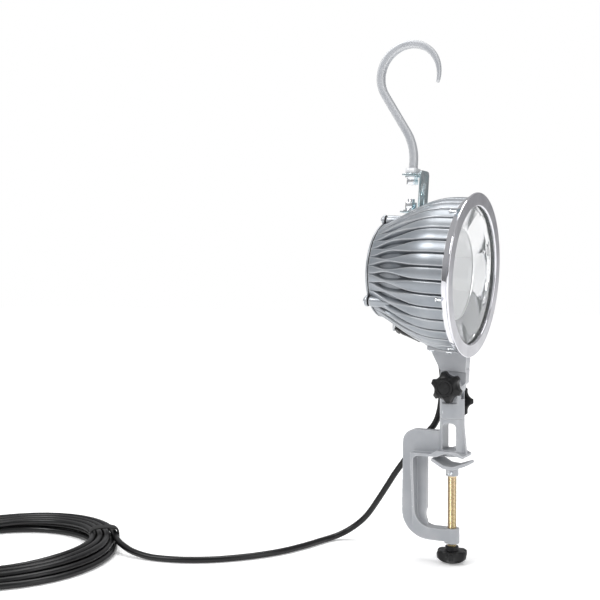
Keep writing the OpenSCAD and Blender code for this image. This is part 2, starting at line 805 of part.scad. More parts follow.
module hook() {
    color(cast_grey) on_head() difference() {
        union() {
            xz_plate(-hook_t / 2, hook_t / 2) hook_outline();
            translate([bolt_x - 6.5, -8.5, hook_base_z]) cube([13, 17, 6]);
            translate([bolt_x, 0, hook_base_z]) cylinder(h = 14, r = 6, $fn = small);
        }
        translate([bolt_x, 0, hook_base_z - 1]) cylinder(h = 12.5, r = 4, $fn = small);
    }
}

// ---- Cord ----

module cord_upper() {
    color(cord_black) tube(smooth(upper_route, 1), cord_d);
}

module cord_lower() {
    color(cord_black) tube(no_lower(smooth(lower_route, 2)), cord_d);
}

// The coil's outer shape: a ring of flattened section that lies on the floor
module cord_coil() {
    half_h = coil_h / 2;
    color(cord_black) translate([coil_at[0], coil_at[1], floor_z]) rotate_extrude($fn = fine)
        translate([coil_r, 0]) polygon([[-coil_half_w + 5, 0], [coil_half_w - 5, 0],
            [coil_half_w, 6], [coil_half_w, half_h + 3], [coil_half_w - 6, coil_h],
            [-coil_half_w + 6, coil_h], [-coil_half_w, half_h + 3], [-coil_half_w, 6]]);
}

module cord_tie() {
    half_w = coil_half_w + 1.5;
    color(black_plastic) translate([coil_at[0], coil_at[1], floor_z]) rotate([0, 0, tie_angle - 5])
        rotate_extrude(angle = 10, $fn = fine) translate([coil_r, 0]) difference() {
            translate([-half_w, 0]) square([2 * half_w, coil_h + 1.5]);
            polygon([[-coil_half_w + 5, 0], [coil_half_w - 5, 0], [coil_half_w, 6],
                [coil_half_w, coil_h / 2 + 3], [coil_half_w - 6, coil_h], [-coil_half_w + 6, coil_h],
                [-coil_half_w, coil_h / 2 + 3], [-coil_half_w, 6]]);
        }
}

module cord_tail() {
    color(cord_black) tube(smooth(tail_route, 1), cord_d);
}

module at_plug() {
    translate([plug_at[0], plug_at[1], floor_z + 8.5]) rotate([0, 0, -7]) children();
}

module plug_body() {
    color(cord_black) at_plug() difference() {
        union() {
            translate([-14, -13, -8.5]) cube([28, 26, 17]);
            translate([14, -11, -7]) cube([4, 22, 14]);
        }
        for (side = [-1, 1]) {
            translate([11, side * 6.35 - 0.8, -3.2]) cube([8, 1.6, 6.4]);
        }
    }
}

module plug_boot() {
    color(cord_black) at_plug() translate([-38.5, 0, 0]) rotate([0, 90, 0])
        cylinder(h = 24.5, r1 = 5, r2 = 7.5, $fn = small);
}

module plug_pins() {
    color(zinc) at_plug() for (side = [-1, 1]) {
        translate([11, side * 6.35 - 0.8, -3.2]) cube([24, 1.6, 6.4]);
    }
}

clamp_frame();
saddle_jaw();
saddle_screw();
clamp_screw();
clamp_knob();
clamp_knob_cap();
pan_collar();
tilt_bolt();
tilt_washers();
tilt_knob();
tilt_knob_cap();
pan_knob();
pan_knob_cap();
pan_stud();
support_leg();
leg_screws();
housing();
rear_cover();
rear_gasket();
rear_cover_screws();
front_ring();
ring_screws();
front_glass();
glass_gasket();
reflector();
reflector_cup();
lamp_bulb();
lamp_base();
lampholder();
holder_bracket();
driver_board();
terminal_block();
cord_gland();
cord_boot();
hook_bracket();
bracket_bolt();
bracket_washers();
hook();
hook_bolt();
hook_washers();
cord_upper();
cord_lower();
cord_coil();
cord_tie();
cord_tail();
plug_body();
plug_boot();
plug_pins();
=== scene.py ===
import math

import bmesh
import bpy
import numpy as np
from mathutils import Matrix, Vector


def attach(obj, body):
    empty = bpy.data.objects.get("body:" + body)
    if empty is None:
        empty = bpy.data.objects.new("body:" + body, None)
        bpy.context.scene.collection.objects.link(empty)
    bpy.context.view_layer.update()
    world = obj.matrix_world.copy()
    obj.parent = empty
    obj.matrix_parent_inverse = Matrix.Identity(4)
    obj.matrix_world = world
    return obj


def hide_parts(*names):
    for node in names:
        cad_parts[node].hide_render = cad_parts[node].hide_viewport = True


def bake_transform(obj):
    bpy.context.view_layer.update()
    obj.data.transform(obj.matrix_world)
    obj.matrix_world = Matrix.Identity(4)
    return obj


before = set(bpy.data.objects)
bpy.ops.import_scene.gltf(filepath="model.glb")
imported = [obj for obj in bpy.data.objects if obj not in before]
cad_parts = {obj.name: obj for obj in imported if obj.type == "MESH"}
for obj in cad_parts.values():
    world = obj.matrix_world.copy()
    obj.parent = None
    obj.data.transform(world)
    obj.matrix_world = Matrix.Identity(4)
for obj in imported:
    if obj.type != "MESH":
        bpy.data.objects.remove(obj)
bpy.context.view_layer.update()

# Lengths below are millimetres, apart from those of the camera, lights, floor and materials. The
# row frame has its origin on the pan axis at the fixed jaw's seat, +X the way the lamp faces, +Z
# up, -Y the tilt knob's side.
MM = 0.001
TILT = math.radians(3.6)
PIVOT = 79.0
AXIS = 125.0
FLOOR = -120.0
REAR = -87.5
CORD_R = 3.6
TINY = 0.01


def head(p):
    """A point of the lamp body's frame (x along the lamp, z above the pivot) in the row frame."""
    x, y, z = p
    return (x * math.cos(TILT) + z * math.sin(TILT), y,
            PIVOT - x * math.sin(TILT) + z * math.cos(TILT))


# ---------------------------------------------------------------- camera

cam_data = bpy.data.cameras.new("camera")
cam_data.lens = 60
cam_data.sensor_width = 36
cam_data.clip_end = 50
cam = bpy.data.objects.new("camera", cam_data)
bpy.context.scene.collection.objects.link(cam)
cam.location = (0.3648, -1.0721, 0.1972)
cam.rotation_euler = Vector((-0.4612, 0.8871, -0.0197)).to_track_quat("-Z", "Y").to_euler()
bpy.context.scene.camera = cam


# ---------------------------------------------------------------- materials

class Nodes:
    """Short names for building a material's nodes."""

    def __init__(self, name, **values):
        self.mat = bpy.data.materials.new(name)
        self.mat.use_nodes = True
        self.tree = self.mat.node_tree
        self.bsdf = self.tree.nodes["Principled BSDF"]
        for key, value in values.items():
            self.bsdf.inputs[key.replace("_", " ")].default_value = value
        self.coord = self.tree.nodes.new("ShaderNodeTexCoord").outputs["Object"]

    def node(self, kind, **values):
        n = self.tree.nodes.new(kind)
        for key, value in values.items():
            setattr(n, key, value)
        return n

    def link(self, a, b):
        self.tree.links.new(a, b)

    def mapped(self, scale):
        m = self.node("ShaderNodeMapping")
        m.inputs["Scale"].default_value = scale
        self.link(self.coord, m.inputs["Vector"])
        return m.outputs[0]

    def noise(self, scale, detail=4.0, rough=0.55, stretch=None):
        n = self.node("ShaderNodeTexNoise")
        n.inputs["Scale"].default_value = scale
        n.inputs["Detail"].default_value = detail
        n.inputs["Roughness"].default_value = rough
        self.link(self.mapped(stretch) if stretch else self.coord, n.inputs["Vector"])
        return n.outputs["Fac"]

    def ramp(self, fac, stops):
        r = self.node("ShaderNodeValToRGB")
        while len(r.color_ramp.elements) < len(stops):
            r.color_ramp.elements.new(0.5)
        for e, (at, col) in zip(r.color_ramp.elements, stops):
            e.position = at
            e.color = (*col, 1) if hasattr(col, "__len__") else (col, col, col, 1)
        self.link(fac, r.inputs[0])
        return r.outputs[0]

    def mix(self, fac, a, b):
        m = self.node("ShaderNodeMix", data_type="RGBA")
        for value, socket in ((fac, m.inputs["Factor"]), (a, m.inputs[6]), (b, m.inputs[7])):
            if isinstance(value, bpy.types.NodeSocket):
                self.link(value, socket)
            else:
                socket.default_value = (*value, 1) if hasattr(value, "__len__") else value
        return m.outputs[2]

    def color(self, socket):
        self.link(socket, self.bsdf.inputs["Base Color"])

    def rough(self, fac, low, high):
        m = self.node("ShaderNodeMapRange")
        m.inputs["To Min"].default_value = low
        m.inputs["To Max"].default_value = high
        self.link(fac, m.inputs["Value"])
        self.link(m.outputs[0], self.bsdf.inputs["Roughness"])

    def bump(self, *layers):
        """Each layer is (height socket, strength, distance in metres)."""
        last = None
        for height, strength, distance in layers:
            b = self.node("ShaderNodeBump")
            b.inputs["Strength"].default_value = strength
            b.inputs["Distance"].default_value = distance
            self.link(height, b.inputs["Height"])
            if last is not None:
                self.link(last, b.inputs["Normal"])
            last = b.outputs[0]
        self.link(last, self.bsdf.inputs["Normal"])


def sprayed(name, dark, light, rough=(0.34, 0.5), grain=0.25, metal=0.35):
    """Silver-grey spray coat over a sand casting: fine flake, orange peel and paler worn edges."""
    m = Nodes(name, Metallic=metal, Coat_Weight=0.12, Coat_Roughness=0.35)
    cloud = m.noise(28, 3)
    flake = m.noise(2600, 2, 0.7)
    wear = m.node("ShaderNodeNewGeometry").outputs["Pointiness"]
    edge = m.ramp(wear, [(0.5, 0.0), (0.56, 0.6)])
    base = m.mix(m.ramp(cloud, [(0.35, 0.0), (0.68, 1.0)]), dark, light)
    base = m.mix(m.ramp(flake, [(0.5, 0.0), (0.66, 0.07)]), base, (0.8, 0.81, 0.83))
    base = m.mix(edge, base, (0.78, 0.79, 0.8))
    m.color(base)
    m.rough(m.noise(90, 4), *rough)
    m.bump((m.noise(420, 3), grain * 0.5, 0.0002), (flake, grain * 0.2, 0.00005))
    return m.mat


def painted_valley_shade(mat, reach, low):
    """Darkens a material where its surface is closed in: painted shade, from ambient occlusion."""
    tree = mat.node_tree
    socket = tree.nodes["Principled BSDF"].inputs["Base Color"]
    source = socket.links[0].from_socket
    ao = tree.nodes.new("ShaderNodeAmbientOcclusion")
    ao.inputs["Distance"].default_value = reach
    ao.samples = 8
    ramp = tree.nodes.new("ShaderNodeValToRGB")
    ramp.color_ramp.elements[0].position = 0.25
    ramp.color_ramp.elements[0].color = (low, low, low * 1.03, 1)
    ramp.color_ramp.elements[1].position = 0.85
    mix = tree.nodes.new("ShaderNodeMix")
    mix.data_type, mix.blend_type = "RGBA", "MULTIPLY"
    mix.inputs["Factor"].default_value = 1.0
    tree.links.new(ao.outputs["AO"], ramp.inputs[0])
    tree.links.new(source, mix.inputs[6])
    tree.links.new(ramp.outputs[0], mix.inputs[7])
    tree.links.new(mix.outputs[2], socket)


def plated(name, tint, tint2, rough=(0.12, 0.3), metal=1.0, streak=None):
    """Zinc plate: cloudy bright metal with a faint coloured bloom and fine drawing marks. Given a
    streak, the bloom runs in bands along z that are partly painted vertical highlights.
    """
    m = Nodes(name, Metallic=metal)
    cloud = m.noise(60, 4, 0.55, streak)
    m.color(m.mix(m.ramp(cloud, [(0.36, 0.0), (0.66, 1.0)]), tint, tint2))
    m.rough(m.noise(150, 4, 0.6, streak), *rough)
    m.bump((m.noise(900, 3, 0.6, streak), 0.05, 0.00005))
    return m.mat


def plastic(name, col, rough=(0.38, 0.55), grain=0.35, scale=1500):
    """Moulded black plastic: spark-eroded grain, softer on the rubbed edges."""
    m = Nodes(name, Specular_IOR_Level=0.34)
    wear = m.ramp(m.node("ShaderNodeNewGeometry").outputs["Pointiness"],
                  [(0.5, 0.0), (0.58, 0.5)])
    cloud = m.noise(40, 3)
    base = m.mix(cloud, tuple(c * 0.75 for c in col), tuple(c * 1.25 for c in col))
    m.color(m.mix(wear, base, tuple(min(1, c * 2.5 + 0.006) for c in col)))
    m.rough(m.noise(200, 4), *rough)
    m.bump((m.noise(scale, 3, 0.7), grain, 0.00015))
    return m.mat


def rubber(name, col, rough=(0.36, 0.52)):
    """Extruded rubber sheath: soft sheen, faint dust and a very fine skin."""
    m = Nodes(name, Specular_IOR_Level=0.4)
    dust = m.ramp(m.noise(35, 5), [(0.52, 0.0), (0.8, 0.35)])
    m.color(m.mix(dust, col, tuple(c + 0.012 for c in col)))
    m.rough(m.noise(120, 4), *rough)
    m.bump((m.noise(700, 4), 0.2, 0.0002))
    return m.mat


def mirror_metal(name, tint, tint2, rough=(0.02, 0.06), ripple=0.04):
    """Polished chrome with the faint waviness and haze of a spun ring."""
    m = Nodes(name, Metallic=1.0)
    m.color(m.mix(m.ramp(m.noise(14, 2), [(0.35, 0.0), (0.7, 1.0)]), tint, tint2))
    m.rough(m.noise(60, 5), *rough)
    m.bump((m.noise(45, 2), ripple, 0.0004))
    return m.mat


def clear_glass(name):
    m = Nodes(name, Roughness=0.02, IOR=1.5, Alpha=0.09, Specular_IOR_Level=0.6)
    m.color(m.mix(m.noise(12, 2), (0.82, 0.88, 0.88), (0.88, 0.93, 0.93)))
    m.bump((m.noise(9, 2), 0.02, 0.0005))
    m.mat.surface_render_method = "BLENDED"
    return m.mat


CAST = sprayed("cast_grey", (0.345, 0.36, 0.385), (0.42, 0.43, 0.45), (0.3, 0.46), 0.2, 0.2)
FINS = sprayed("die_cast", (0.245, 0.27, 0.30), (0.32, 0.34, 0.365), (0.26, 0.38), 0.2, 0.5)
# painted shade in the fins' valleys, darker where the surface is closed in
painted_valley_shade(FINS, 0.008, 0.30)
ZINC = plated("zinc", (0.72, 0.76, 0.80), (0.84, 0.85, 0.86))
BLUE_ZINC = plated("blue_zinc", (0.50, 0.66, 0.70), (0.76, 0.80, 0.82), rough=(0.1, 0.24))
# the rod's yellow-to-pink bands along its length: partly the plate's own tint, partly painted
# vertical highlights
YELLOW = plated("yellow_zinc", (0.50, 0.46, 0.20), (0.74, 0.52, 0.42), (0.2, 0.26),
                streak=(3.0, 3.0, 0.04))
RIM_FACE = plated("ring_face", (0.50, 0.50, 0.53), (0.58, 0.58, 0.61), (0.26, 0.36), 0.85)
KNOB = plastic("knob_black", (0.0045, 0.0045, 0.005), (0.3, 0.46), 0.25)
RUBBER = rubber("cord_rubber", (0.0035, 0.0035, 0.004), (0.24, 0.38))
SEAL = rubber("seal", (0.012, 0.012, 0.012), rough=(0.5, 0.7))
CHROME = mirror_metal("ring_chrome", (0.74, 0.74, 0.78), (0.84, 0.84, 0.87))
BRIGHT = mirror_metal("reflector_bright", (0.86, 0.86, 0.87), (0.93, 0.92, 0.92), (0.07, 0.16),
                      0.12)
GLASS = clear_glass("clear_glass")
WHITE = sprayed("cup_white", (0.83, 0.83, 0.84), (0.90, 0.90, 0.90), (0.4, 0.55), 0.1, 0.0)
CERAMIC = sprayed("ceramic", (0.74, 0.73, 0.69), (0.82, 0.81, 0.77), (0.5, 0.7), 0.15, 0.0)
BOARD = plastic("board", (0.03, 0.12, 0.05), (0.3, 0.5), 0.1, 600)
PALE = plastic("terminal", (0.6, 0.6, 0.57), (0.35, 0.5), 0.15, 900)
PINS = plated("pins", (0.70, 0.55, 0.25), (0.80, 0.66, 0.36))


# ---------------------------------------------------------------- mesh helpers

def finish_mesh(obj, angle=38):
    """Smooth shading, with the edges sharper than an angle in degrees kept sharp."""
    me = obj.data
    me.polygons.foreach_set("use_smooth", [True] * len(me.polygons))
    me.set_sharp_from_angle(angle=math.radians(angle))
    me.update()


def piece(name, verts, faces, mat, body, replaces=(), to_row=None, angle=38, close=True):
    """A mesh from points in mm, riding on a body."""
    pts = [tuple(c * MM for c in (to_row(v) if to_row else v)) for v in verts]
    me = bpy.data.meshes.new(name)
    me.from_pydata(pts, [], [tuple(int(i) for i in f) for f in faces])
    me.validate()
    bm = bmesh.new()
    bm.from_mesh(me)
    if close:
        bmesh.ops.remove_doubles(bm, verts=bm.verts, dist=1e-7)
        bmesh.ops.recalc_face_normals(bm, faces=bm.faces)
    bm.to_mesh(me)
    bm.free()
    me.materials.append(mat)
    obj = bpy.data.objects.new(name, me)
    bpy.context.scene.collection.objects.link(obj)
    finish_mesh(obj, angle)
    if body:
        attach(obj, body)
    if replaces:
        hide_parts(*replaces)
    return obj


def joined(name, parts, mat, body, replaces=(), angle=38):
    """One piece made of several (points, faces) parts."""
    verts, faces = [], []
    for v, f in parts:
        faces += [tuple(i + len(verts) for i in q) for q in f]
        verts += v
    return piece(name, verts, faces, mat, body, replaces, angle=angle)


def grid_faces(rows, cols):
    """Quads over a rows by cols grid of points, joined round in the columns."""
    out = []
    for i in range(rows - 1):
        for k in range(cols):
            n = (k + 1) % cols
            out.append((i * cols + k, i * cols + n, (i + 1) * cols + n, (i + 1) * cols + k))
    return out


def capped(rows, cols):
    """The faces of grid_faces and a flat one over each end."""
    return grid_faces(rows, cols) + [tuple(range(cols - 1, -1, -1)),
                                     tuple((rows - 1) * cols + k for k in range(cols))]


def squared(a, power):
    """Cosine and sine of an angle, pushed out towards a square; a higher power is squarer."""
    c, s = math.cos(a), math.sin(a)
    q = (abs(c) ** power + abs(s) ** power) ** (-1 / power)
    return q * c, q * s


def lathe(profile, sides, place, star=None):
    """Points and faces of a profile [(radius, height)] turned about a line. place maps
    (x, y, height) to a point; star gives the radius that stands for (radius, height, angle)."""
    verts, rows = [], len(profile)
    for r, h in profile:
        for k in range(sides):
            a = 2 * math.pi * k / sides
            rr = star(r, h, a) if star else r
            verts.append(place(rr * math.cos(a), rr * math.sin(a), h))
    faces = grid_faces(rows, sides)
    for row, flip in ((0, True), (rows - 1, False)):
        if profile[row][0] > 1e-6:
            ring = [row * sides + k for k in range(sides)]
            faces.append(tuple(reversed(ring)) if flip else tuple(ring))
    return verts, faces


def rounded(points, radius, steps=4):
    """A profile with each inner corner rounded."""
    out = [points[0]]
    for a, b, c in zip(points, points[1:], points[2:]):
        a, b, c = (np.array(p, float) for p in (a, b, c))
        la, lc = np.linalg.norm(a - b), np.linalg.norm(c - b)
        d = min(radius, la * 0.48, lc * 0.48)
        p, q = b + (a - b) / la * d, b + (c - b) / lc * d
        for i in range(steps + 1):
            t = i / steps
            out.append(tuple((1 - t) ** 2 * p + 2 * t * (1 - t) * b + t * t * q))
    out.append(points[-1])
    return out


def along_lamp(x, y, h):
    """Lathe placement about the lamp's axis: h is the head frame's x. Angle 0 points up."""
    return head((h, -y, AXIS + x))


def from_cad(name, node, mat, body, voxel=0.0, smooth=0, ratio=0.5, bevel=0.0):
    """A finer copy of a CAD node: its edges broken by a bevel, or by remeshing and smoothing."""
    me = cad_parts[node].data.copy()
    bm = bmesh.new()
    bm.from_mesh(me)
    bmesh.ops.remove_doubles(bm, verts=bm.verts, dist=2e-6)
    if bevel:
        bmesh.ops.dissolve_limit(bm, angle_limit=math.radians(2), verts=bm.verts, edges=bm.edges)
    bm.to_mesh(me)
    bm.free()
    me.materials.clear()
    me.materials.append(mat)
    obj = bpy.data.objects.new(name, me)
    bpy.context.scene.collection.objects.link(obj)
    if voxel:
        m = obj.modifiers.new("remesh", "REMESH")
        m.mode = "VOXEL"
        m.voxel_size = voxel * MM
        m.use_smooth_shade = True
        s = obj.modifiers.new("smooth", "SMOOTH")
        s.factor = 0.5
        s.iterations = smooth
        obj.modifiers.new("decimate", "DECIMATE").ratio = ratio
    if bevel:
        m = obj.modifiers.new("bevel", "BEVEL")
        m.width = bevel * MM
        m.segments = 2
        m.limit_method = "ANGLE"
        m.angle_limit = math.radians(30)
        m.use_clamp_overlap = True
    apply(obj)
    finish_mesh(obj, 60 if voxel else 32)
    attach(obj, body)
    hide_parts(node)


def apply(obj):
    """Puts the result of an object's modifiers in its mesh."""
    dg = bpy.context.evaluated_depsgraph_get()
    dg.update()
    new = bpy.data.meshes.new_from_object(obj.evaluated_get(dg))
    obj.modifiers.clear()
    old = obj.data
    obj.data = new
    bpy.data.meshes.remove(old)


def smooth_path(points, per):
    """Catmull-Rom curve through points, with per steps between each pair."""
    p = [np.array(q, float) for q in points]
    out = []
    for i in range(len(p) - 1):
        a, b, c, d = p[max(i - 1, 0)], p[i], p[i + 1], p[min(i + 2, len(p) - 1)]
        for j in range(per):
            u = j / per
            out.append(b + u * (c - a) / 2 + u * u * (a - 2.5 * b + 2 * c - d / 2)
                       + u ** 3 * ((d - a) / 2 + 1.5 * (b - c)))
    out.append(p[-1])
    return np.array(out)


def tube(path, radius):
    """A closed tube along a path, its rings turned as little as possible from one to the next."""
    sides = 16
    path = np.asarray(path, float)
    n = len(path)
    t = np.gradient(path, axis=0)
    t /= np.linalg.norm(t, axis=1)[:, None]
    u = np.cross(t[0], [0, 0, 1.0]) if abs(t[0][2]) < 0.9 else np.cross(t[0], [0, 1.0, 0])
    u /= np.linalg.norm(u)
    verts = []
    for i in range(n):
        u = u - t[i] * np.dot(u, t[i])
        u /= np.linalg.norm(u)
        v = np.cross(t[i], u)
        for k in range(sides):
            a = 2 * math.pi * k / sides
            verts.append(tuple(path[i] + radius * (math.cos(a) * u + math.sin(a) * v)))
    return verts, capped(n, sides)


# ---------------------------------------------------------------- cords

# the gland's point and its dip, in the lamp body's frame
GLAND = np.array((-84.0, 36.0, 61.5))
DIP = math.radians(26)


def on_gland(l, side=0.0, up=0.0):
    """A point of the gland's own line: l along it, side along +Y, up across it."""
    return head((GLAND[0] + l * math.cos(DIP) + up * math.sin(DIP), GLAND[1] + side,
                 GLAND[2] - l * math.sin(DIP) + up * math.cos(DIP)))


# the cord's route: down past the tilt, round the pan collar, to the floor and over to the coil
UPPER = [on_gland(31), on_gland(34), on_gland(41), (-38, 35.6, 121), (-32.6, 35.2, 115),
         (-28.5, 35.1, 107.3), (-25.6, 35.4, 97.5), (-24.1, 35.6, 86), (-23.4, 34.6, 73),
         (-24.2, 32.1, 60)]
MIDDLE = [(-24.2, 32.1, 60), (-24.6, 29.2, 49.5), (-26.4, 26.4, 39), (-30, 24.3, 30.2),
          (-35.2, 22.9, 23.6), (-41, 22, 18)]
LIE = FLOOR + CORD_R
LOWER = [(-41, 22, 18), (-50, 22.6, 8.4), (-60, 25, -4.2), (-70, 27.5, -17.5), (-82, 30, -33.5),
         (-94, 33, -51), (-106, 36, -68), (-118, 39.5, -84), (-128.1, 40.7, -95),
         (-138.7, 39.2, -104), (-148.6, 34.4, -110.8), (-157.3, 25.8, -115), (-163.3, 13.5, LIE),
         (-167, -1, LIE), (-170.5, -16, LIE), (-175, -32, LIE), (-184, -57, LIE),
         (-198, -82, LIE), (-217, -106, LIE), (-241, -128, LIE), (-272, -144, LIE),
         (-303, -150, LIE), (-331, -149, -113.5), (-353, -142, -109), (-369, -131.5, -106)]
TAIL = [(-565.2, -208, LIE), (-564.5, -221.5, LIE), (-562.3, -233.8, -115.6),
        (-556.1, -244.6, -114), (-546.5, -252.4, -112.4), (-537.5, -255.8, -111.7),
        (-528.3, -257.3, -111.5), (-518, -258.6, -111.5)]
# the coil: its middle and radius, the angles of its tie and of its first point, and each turn's
# place in the bundle (sideways, layer)
COIL = np.array((-478.0, -214.0))
COIL_R = 124.0
TIE = math.radians(44)
START = math.radians(39)
TURNS = 10 + (160 - 39) / 360
SLOTS = [(12.4, 2), (4.1, 2), (-4.1, 2), (-12.4, 2), (-8.3, 1), (0.0, 1), (8.3, 1), (12.4, 0),
         (4.1, 0), (-4.1, 0), (-12.4, 0)]

# the gap between touching turns of one layer, half a slot's width, and how much the bundle
# spreads opposite the tie
PACK, HALF_SLOT, SPREAD = 7.5, 4.135, 1.2


def ease(t):
    """Smooth step from 0 to 1, flat at both ends."""
    t = min(1.0, max(0.0, t))
    return t * t * (3 - 2 * t)


def bundle(angle):
    """How far the turns spread sideways and stack up at an angle: loose opposite the tie."""
    spread = 1 + SPREAD * (1 - math.cos(angle - TIE)) / 2
    step = math.sqrt(max(0.0, PACK ** 2 - (HALF_SLOT * spread) ** 2))
    rows = [0.0, step, max(2 * step, 7.4)]
    return spread, rows


def coil_point(turn):
    """A point of the cord's centre after so many turns of the coil."""
    angle = START + 2 * math.pi * turn
    spread, rows = bundle(angle)
    k = min(int(turn), len(SLOTS) - 1)
    at = turn - k
    # each turn moves to the next slot over a short stretch; the later ones move first
    begin = 0.30 + 0.028 * (len(SLOTS) - k)
    w = ease((at - begin) / 0.11) if k + 1 < len(SLOTS) else 0.0
    j = min(k + 1, len(SLOTS) - 1)
    x = SLOTS[k][0] * (1 - w) + SLOTS[j][0] * w
    z = rows[SLOTS[k][1]] * (1 - w) + rows[SLOTS[j][1]] * w
    wander = 0.55 * math.sin(3 * angle + 1.9 * k) + 0.35 * math.sin(7 * angle + 2.7 * k)
    loose = (spread - 1) / SPREAD
    wave = 1.6 * math.cos(2 * angle + 0.6) + 1.1 * math.cos(3 * angle + 2.0)
    r = COIL_R + x * spread - 9.5 * (spread - 1) + wander * (0.4 + 1.6 * loose) + wave
    return (COIL[0] + r * math.cos(angle), COIL[1] + r * math.sin(angle),
            LIE + z + 0.25 + 0.25 * math.sin(5 * angle + k))


STEPS_PER_TURN = 48
coil_steps = int(TURNS * STEPS_PER_TURN)
coil_path = [coil_point(TURNS * i / coil_steps) for i in range(1, coil_steps + 1)]
main_path = np.concatenate([smooth_path(LOWER, 4)[:-1], smooth_path(
    [LOWER[-1]] + coil_path[:6], 2)[1:-1], np.array(coil_path[5:]),
    smooth_path([coil_path[-1]] + TAIL, 5)[1:]])
main_path[:, 2] = np.maximum(main_path[:, 2], LIE)


def cord_piece(name, path, replaces=()):
    """A stretch of cord across a joint, so it rides on no body."""
    verts, faces = tube(path, CORD_R)
    return piece(name, verts, faces, RUBBER, None, replaces, close=False)


def metres(path):
    return [tuple(float(c) * MM for c in p) for p in path]


upper_path = smooth_path(UPPER, 5)
middle_path = smooth_path(MIDDLE, 5)
cord_top = cord_piece("cord_from_lamp", upper_path, ("cord_upper",))
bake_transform(cord_top)
cord_mid = cord_piece("cord_past_post", middle_path)
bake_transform(cord_mid)

curve = bpy.data.curves.new("cord_main", "CURVE")
curve.dimensions = "3D"
curve.bevel_depth = CORD_R * MM
curve.bevel_resolution = 4
curve.use_fill_caps = True
line = curve.splines.new("POLY")
line.points.add(len(main_path) - 1)
for pt, p in zip(line.points, metres(main_path)):
    pt.co = (*p, 1)
line.use_smooth = True
curve.materials.append(RUBBER)
cord_main = bpy.data.objects.new("cord_main", curve)
bpy.context.scene.collection.objects.link(cord_main)
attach(cord_main, "clamp")
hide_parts("cord_lower", "cord_coil", "cord_tail")


# ---------------------------------------------------------------- plug and tie

PLUG = np.array((-490.0, -262.0, FLOOR + 8.5))
PLUG_TURN = math.radians(-7)
PLUG_BACK = -14
PLUG_LONG = 32
PLUG_STEPS = 24


def at_plug(p):
    """A point of the plug's frame (x towards its pins) in the row frame."""
    x, y, z = p
    return (PLUG[0] + x * math.cos(PLUG_TURN) - y * math.sin(PLUG_TURN),
            PLUG[1] + x * math.sin(PLUG_TURN) + y * math.cos(PLUG_TURN), PLUG[2] + z)


def plug_section(t):
    """Half width and half height of the plug's body at a share t of its length."""
    w = 8.2 + 4.8 * ease(t * 1.9) - 1.2 * ease((t - 0.72) * 4)
    h = 6.6 + 1.9 * ease(t * 1.9) - 1.0 * ease((t - 0.72) * 4)
    return w, h


plug_verts, sides = [], 48
for i in range(PLUG_STEPS + 1):
    x = PLUG_BACK + PLUG_LONG * i / PLUG_STEPS
    w, h = plug_section(i / PLUG_STEPS)
    end = 1 - 0.12 * (1 - ease(i / 2.0)) - 0.10 * (1 - ease((PLUG_STEPS - i) / 1.5))
    grip = 0.35 if 6 <= i <= 16 and i % 2 == 0 else 0.0
    for k in range(sides):
        a = 2 * math.pi * k / sides
        side_grip = grip if abs(math.cos(a)) > 0.72 else 0.0
        c, s = squared(a, 3.2)
        plug_verts.append((x, (w * end - side_grip) * c, h * end * s))
plug = piece("plug_moulded_body", plug_verts, capped(PLUG_STEPS + 1, sides), KNOB, "clamp",
             ("plug_body",), at_plug)

boot_rows = []
for i in range(41):
    x = -38.5 + 25.5 * i / 40
    r = 4.6 + 2.6 * (i / 40) ** 1.2
    if 5 < i < 36 and i % 4 in (0, 1):
        r -= 0.75
    boot_rows.append((r, x))
bv, bf = lathe(boot_rows, 32, lambda a, b, h: at_plug((h, a, b)))
plug_boot = piece("plug_strain_relief", bv, bf, RUBBER, "clamp", ("plug_boot",))


TIE_WIDTH = 15
TIE_HALF_X = 17.2
TIE_HALF_Z = 12.2
TIE_SIDES, TIE_ROWS = 40, 7

tie_verts = []
for i in range(TIE_ROWS):
    a0 = TIE + (i / (TIE_ROWS - 1) - 0.5) * TIE_WIDTH / COIL_R
    crown = 0.5 * (1 - (2 * i / (TIE_ROWS - 1) - 1) ** 2)
    for k in range(TIE_SIDES):
        c, s = squared(2 * math.pi * k / TIE_SIDES, 3.5)
        r = COIL_R + (TIE_HALF_X + crown) * c
        z = TIE_HALF_Z + (TIE_HALF_Z + crown) * s
        tie_verts.append((COIL[0] + r * math.cos(a0), COIL[1] + r * math.sin(a0),
                          max(FLOOR + z, FLOOR + 0.05)))
tie = piece("coil_tie", tie_verts, grid_faces(TIE_ROWS, TIE_SIDES), SEAL, "clamp",
            ("cord_tie",), close=False)
solid = tie.modifiers.new("solid", "SOLIDIFY")
solid.thickness = 0.0012
solid.offset = 1
apply(tie)
finish_mesh(tie)


# ---------------------------------------------------------------- lamp body

RIBS = 36
RIB_COLUMNS = 26
BODY_LONG = 97.0
# the flat pocket under the bracket: height over the axis, half width and end along the body
POCKET_Z, POCKET_Y, POCKET_END = 66, 14.2, 43.6


def body_r(s):
    """Radius over the fins' crests at s in front of the rear seam."""
    return 54.5 + 31.5 * max(0.0, math.sin(math.pi / 2 * min(s, 84) / 84)) ** 1.2


def groove_depth(s):
    """Valleys: shallow at the seam, deepest a third of the way along, a fine line at the front."""
    rise = ease((s - 2.0) / 24)
    fall = 1 - 0.80 * ease((s - 30) / 38)
    return 0.8 + 7.2 * rise * fall


def groove_width(s):
    """Half width of a valley, widest where it is deepest."""
    rise = ease((s - 1.0) / 26)
    fall = 1 - 0.84 * ease((s - 28) / 36)
    return 0.75 + 4.1 * rise * fall


